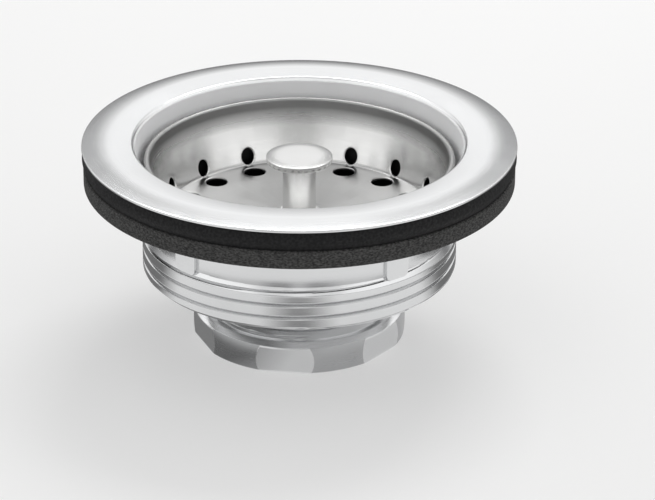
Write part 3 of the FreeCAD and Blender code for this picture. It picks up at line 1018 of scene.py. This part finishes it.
# Post and lifting knob
post = {
    "segments": 96,
    "stud": 2.5,
    "studRounding": 0.4,
    "radius": 4.35,
    "foot": 6.2,
    "footHeight": 1.1,
    "footUnderRounding": 0.15,
    "footRounding": 0.45,
    "footBlend": 0.7,
    "spigot": 2.5,
}
knob = {
    "segments": 128,
    "edgeThickness": 1.5,
    "edgeRounding": 0.3,
    "crownMiddle": 0.76,  # share of the radius at the middle of the fall
    "crownRounding": 19.0,
    "hole": 2.5,
    "holeDepth": 1.2,
}
# Painted light: the post's steel is a lighter copy of the basket's steel, to stand in for light on it
postSteel = dict(basketSteel, dark=(0.76, 0.76, 0.755), light=(0.86, 0.86, 0.855), roughness=(0.25, 0.27),
                 lineStrength=0.02)
postMaterial = turnedMetal("postSteel", postSteel)


def makePost():
    floorTop = cup["floorTop"]
    knobUnder = bottomOf("lift_knob")
    piece = turnedPiece("basketPost", [
        (0, bottomOf("basket_post")),
        (post["stud"], bottomOf("basket_post"), post["studRounding"]),
        (post["stud"], floorTop),
        (post["foot"], floorTop, post["footUnderRounding"]),
        (post["foot"], floorTop + post["footHeight"], post["footRounding"]),
        (post["radius"], floorTop + post["footHeight"], post["footBlend"]),
        (post["radius"], knobUnder),
        (post["spigot"], knobUnder),
        (post["spigot"], topOf("basket_post")),
        (0, topOf("basket_post")),
    ], postMaterial, closed=False, segments=post["segments"])
    settle(piece, "basket", "basket_steel", "basket_post")


def makeKnob():
    under = bottomOf("lift_knob")
    edge = radiusOf("lift_knob")
    top = topOf("lift_knob")
    piece = turnedPiece("liftKnob", [
        (0, under + knob["holeDepth"]),
        (knob["hole"], under + knob["holeDepth"]),
        (knob["hole"], under),
        (edge, under, knob["edgeRounding"]),
        (edge, under + knob["edgeThickness"], knob["edgeRounding"]),
        (edge * knob["crownMiddle"], top, knob["crownRounding"]),
        (0, top),
    ], basketMaterial, closed=False, segments=knob["segments"])
    settle(piece, "basket", "basket_steel", "lift_knob")


makePost()
makeKnob()
print("post and knob made")

# Stopper seal and its retainer, seen from below and when the basket is lifted
stopper = {
    "stud": 2.6,
    "web": 4.0,
    "webRounding": 1.0,
    "topRadius": 11.0,
    "topRounding": 1.0,
    "edgeHeight": 4.6,
    "edgeRounding": 1.8,
    "lipWidth": 3.4,
    "lipDraft": 1.7,
    "lipInnerRounding": 0.5,
    "lipOuterRounding": 0.7,
}
retainer = {
    "edgeInset": 0.05,  # within the frame's edge
    "edgeDraft": 0.15,
    "edgeRounding": 0.3,
    "flat": 7.0,
    "flatRounding": 1.0,
    "dish": 0.8,
    "sheet": 1.0,
}


def makeStopper():
    low = bottomOf("stopper_seal")
    high = topOf("stopper_seal")
    edge = radiusOf("stopper_seal")
    webUnder = high - stopper["web"]
    lip = edge - stopper["lipWidth"]
    piece = turnedPiece("stopperSeal", [
        (stopper["stud"], webUnder),
        (lip - stopper["lipDraft"], webUnder, stopper["webRounding"]),
        (lip, low, stopper["lipInnerRounding"]),
        (edge, low, stopper["lipOuterRounding"]),
        (edge, low + stopper["edgeHeight"], stopper["edgeRounding"]),
        (stopper["topRadius"], high, stopper["topRounding"]),
        (stopper["stud"], high),
    ], rubberMaterial)
    settle(piece, "basket", "black_rubber", "stopper_seal")


def makeRetainer():
    top = topOf("stopper_seal") - stopper["web"]
    under = top - retainer["sheet"]
    dished = under - retainer["dish"]
    edge = radiusOf("seal_retainer") - retainer["edgeInset"]
    piece = turnedPiece("sealRetainer", [
        (stopper["stud"], under),
        (retainer["flat"], under, retainer["flatRounding"]),
        (edge - retainer["edgeDraft"], dished, retainer["edgeRounding"]),
        (edge, dished + retainer["sheet"], retainer["edgeRounding"]),
        (retainer["flat"], top, retainer["flatRounding"]),
        (stopper["stud"], top),
    ], basketMaterial)
    settle(piece, "basket", "basket_steel", "seal_retainer")


makeStopper()
makeRetainer()
print("stopper made")

# The catch stem and its spring keep their own meshes
stemBrass = dict(bodyChrome, dark=(0.56, 0.41, 0.19), light=(0.68, 0.52, 0.26), roughness=(0.24, 0.38))
brassMaterial = turnedMetal("stemBrass", stemBrass)
for node, material in (("catch_stem", brassMaterial), ("catch_spring", basketMaterial)):
    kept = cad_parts[node]
    kept.data.materials.clear()
    kept.data.materials.append(material)
print("catch finished")

# Pale floor, lit by two soft lamps
floor = {
    "size": 8.0,
    "color": (0.92, 0.92, 0.915),
    "grainShade": 0.985,
    "grainPerMetre": 400.0,
    "roughness": 0.9,
    "specular": 0.1,
    "glow": 0.42,  # share of plain white that the camera sees in the floor
    "mirrorGlow": 0.7,  # and that metal shows of it
}
lampAim = (0, 0, 0.03)
lamps = {
    "topLamp": {"place": (0.0, 0.0, 1.2), "size": (1.4, 1.4), "power": 2.6},
    "keyLamp": {"place": (0.2, 0.62, 0.82), "size": (0.5, 0.35), "power": 3.8},
}


# A share for what the camera sees straight, and one for what it sees by way of metal
def seenRays(tree, direct=1.0, mirrored=1.0):
    rays = tree.nodes.new("ShaderNodeLightPath").outputs
    turned = calc(tree, "MAXIMUM", rays["Is Glossy Ray"], rays["Is Transmission Ray"])
    return calc(tree, "MAXIMUM", times(tree, rays["Is Camera Ray"], direct),
                times(tree, turned, mirrored))


def flatSheet(name, size, level, material):
    half = size / 2
    corners = [(x * half, y * half, level) for x, y in ((-1, -1), (1, -1), (1, 1), (-1, 1))]
    mesh = bpy.data.meshes.new(name)
    mesh.from_pydata(corners, [], [(0, 1, 2, 3)])
    mesh.materials.append(material)
    sheet = bpy.data.objects.new(name, mesh)
    scene.collection.objects.link(sheet)
    return sheet


def makeFloor():
    material, tree, shader = newMaterial("palePaper")
    grain = noise(tree, objectPlace(tree), floor["grainPerMetre"])
    low = tuple(c * floor["grainShade"] for c in floor["color"])
    tree.links.new(blendColors(tree, grain, low, floor["color"]), shader.inputs["Base Color"])
    shader.inputs["Roughness"].default_value = floor["roughness"]
    shader.inputs["Specular IOR Level"].default_value = floor["specular"]
    glow = tree.nodes.new("ShaderNodeEmission")
    mixed = tree.nodes.new("ShaderNodeMixShader")
    tree.links.new(seenRays(tree, floor["glow"], floor["mirrorGlow"]), mixed.inputs[0])
    tree.links.new(shader.outputs[0], mixed.inputs[1])
    tree.links.new(glow.outputs[0], mixed.inputs[2])
    tree.links.new(mixed.outputs[0], tree.nodes["Material Output"].inputs["Surface"])
    flatSheet("studioFloor", floor["size"], 0, material)


def makeLamp(name, place, size, power):
    lamp = bpy.data.lights.new(name, "AREA")
    lamp.shape = "RECTANGLE"
    lamp.size, lamp.size_y = size
    lamp.energy = power
    holder = bpy.data.objects.new(name, lamp)
    scene.collection.objects.link(holder)
    holder.location = place
    holder.rotation_mode = "QUATERNION"
    holder.rotation_quaternion = (Vector(lampAim) - Vector(place)).to_track_quat("-Z", "Y")
    holder.visible_glossy = False  # metal mirrors the room alone


makeFloor()
for name, lamp in lamps.items():
    makeLamp(name, **lamp)
print("floor and lamps made")

# Painted dark reflections: cards on the floor at both sides, in front and round the nut, which only metal
# shows, hidden from the camera, from diffuse light and from shadows
reflectionCards = {
    "size": 0.5,
    "level": 0.0003,
    "tone": (0.03, 0.03, 0.031),
    "inner": (0.056, 0.066),  # radius where the side and front cards fade in
    "sideStart": (math.radians(-13), math.radians(4)),  # from the sides towards the back
    "sideEnd": (math.radians(55), math.radians(75)),
    "sideShare": 0.8,
    "frontEnd": (math.radians(-86), math.radians(-68)),
    "frontOuter": (0.102, 0.116),
    "frontShare": 0.65,
    # The near card paints shade into the nut's left side by way of its reflection
    "nearOuter": (0.042, 0.05),  # a near card round the nut, darker at the left
    "nearLeft": (-0.02, -0.004),
    "nearShares": (0.7, 0.18),
}


# Painted dark reflections: a sheet that shows only in metal, darkening what the metal mirrors
def makePaintedReflections():
    material, tree, shader = newMaterial("paintedReflectionCard")
    place = objectPlace(tree)
    part = put(tree, "ShaderNodeSeparateXYZ", place).node.outputs
    angle = calc(tree, "ARCTAN2", part["Y"], calc(tree, "ABSOLUTE", part["X"]))  # -90 degrees is the front
    radius = turnedPlace(tree, place)[0]
    side = times(tree, spread(tree, angle, *reflectionCards["sideStart"], 0.0, 1.0),
                 spread(tree, angle, *reflectionCards["sideEnd"], 1.0, 0.0))
    front = times(tree, spread(tree, angle, *reflectionCards["frontEnd"], reflectionCards["frontShare"], 0.0),
                  spread(tree, radius, *reflectionCards["frontOuter"], 1.0, 0.0))
    share = calc(tree, "MAXIMUM", times(tree, side, reflectionCards["sideShare"]), front)
    share = times(tree, share, spread(tree, radius, *reflectionCards["inner"], 0.0, 1.0))
    near = times(tree, spread(tree, radius, *reflectionCards["nearOuter"], 1.0, 0.0),
                 spread(tree, part["X"], *reflectionCards["nearLeft"], *reflectionCards["nearShares"]))
    tree.links.new(calc(tree, "MAXIMUM", share, near), shader.inputs["Alpha"])
    shader.inputs["Base Color"].default_value = (*reflectionCards["tone"], 1)
    shader.inputs["Roughness"].default_value = 1.0
    shader.inputs["Specular IOR Level"].default_value = 0.0
    sheet = flatSheet("darkCards", reflectionCards["size"], reflectionCards["level"], material)
    for rays in ("camera", "diffuse", "transmission", "shadow"):
        setattr(sheet, "visible_" + rays, False)


makePaintedReflections()
print("cards made")

# The room is a white tent, darker towards the horizon and the top, with a dim strip at each side of the back
# and a bright skylight high over them. Each ramp gives two places along an axis and the shares there.
room = {
    "tone": (0.08, 0.08, 0.083),
    "windowTone": (1.25, 1.25, 1.25),
    "light": 0.5,  # share of the room's tone that lights the object
    "behind": (-0.9, -0.5, 0.9, 1.0),
    "horizon": (0.07, 0.36, 0.1, 1.0),
    "front": (-0.6, -0.3, 0.5, 0.0),
    "stripInner": (0.04, 0.15, 0.0, 1.0),
    "stripOuter": (0.3, 0.5, 1.0, 0.0),
    "stripTone": 0.4,
    "ceiling": (0.3, 0.6, 0.0, 0.8),
    "top": (0.86, 0.97, 1.0, 0.6),
    "skylight": 8.5,
    "skylightBottom": (0.74, 0.78, 0.0, 1.0),
    "skylightTop": (0.84, 0.88, 1.0, 0.0),
    "skylightSides": (0.42, 0.56, 1.0, 0.0),
    "skylightFront": (0.1, 0.2, 0.0, 1.0),
}


def makeRoom():
    world = bpy.data.worlds.new("studioRoom")
    scene.world = world
    world.use_nodes = True
    tree = world.node_tree
    sky = tree.nodes["Background"]
    direction = tree.nodes.new("ShaderNodeTexCoord").outputs["Generated"]
    part = put(tree, "ShaderNodeSeparateXYZ", direction).node.outputs
    side = calc(tree, "ABSOLUTE", part["X"])

    def ramp(label, value):
        return spread(tree, value, *room[label])

    raised = calc(tree, "MAXIMUM", ramp("horizon", part["Z"]), ramp("front", part["Y"]))
    strips = times(tree, ramp("stripInner", side), ramp("stripOuter", side))
    aside = spread(tree, strips, 0.0, 1.0, 1.0, room["stripTone"])
    window = times(tree, times(tree, ramp("behind", part["Y"]), raised), aside)
    bright = calc(tree, "MAXIMUM", window, ramp("ceiling", part["Z"]))
    bright = times(tree, bright, ramp("top", part["Z"]))
    tree.links.new(blendColors(tree, bright, room["tone"], room["windowTone"]), sky.inputs["Color"])
    seen = seenRays(tree)
    strength = spread(tree, seen, 0.0, 1.0, room["light"], 1.0)
    high = times(tree, ramp("skylightBottom", part["Z"]), ramp("skylightTop", part["Z"]))
    wide = times(tree, ramp("skylightSides", side), ramp("skylightFront", part["Y"]))
    opening = times(tree, times(tree, high, wide), seen)
    skylight = spread(tree, opening, 0.0, 1.0, 1.0, room["skylight"])
    tree.links.new(times(tree, strength, skylight), sky.inputs["Strength"])


makeRoom()
print("room made")

# Camera, from the front and above
view = {
    "elevation": math.radians(24.31),
    "distance": 0.9099,
    "targetLevel": (seatLevel - 20.0) * mm,
    "sensor": 36.0,
    "lens": 189.44,
    "shiftX": 0.043,
    "shiftY": -0.057,
}


def makeCamera():
    lens = bpy.data.cameras.new("photoCamera")
    lens.sensor_width = view["sensor"]
    lens.lens = view["lens"]
    lens.shift_x = view["shiftX"]
    lens.shift_y = view["shiftY"]
    camera = bpy.data.objects.new("photoCamera", lens)
    scene.collection.objects.link(camera)
    back = Vector((0, -math.cos(view["elevation"]), math.sin(view["elevation"])))
    camera.location = Vector((0, 0, view["targetLevel"])) + back * view["distance"]
    camera.rotation_mode = "QUATERNION"
    camera.rotation_quaternion = (-back).to_track_quat("-Z", "Y")
    scene.camera = camera


makeCamera()
scene.view_settings.view_transform = "Standard"
print("studio made")
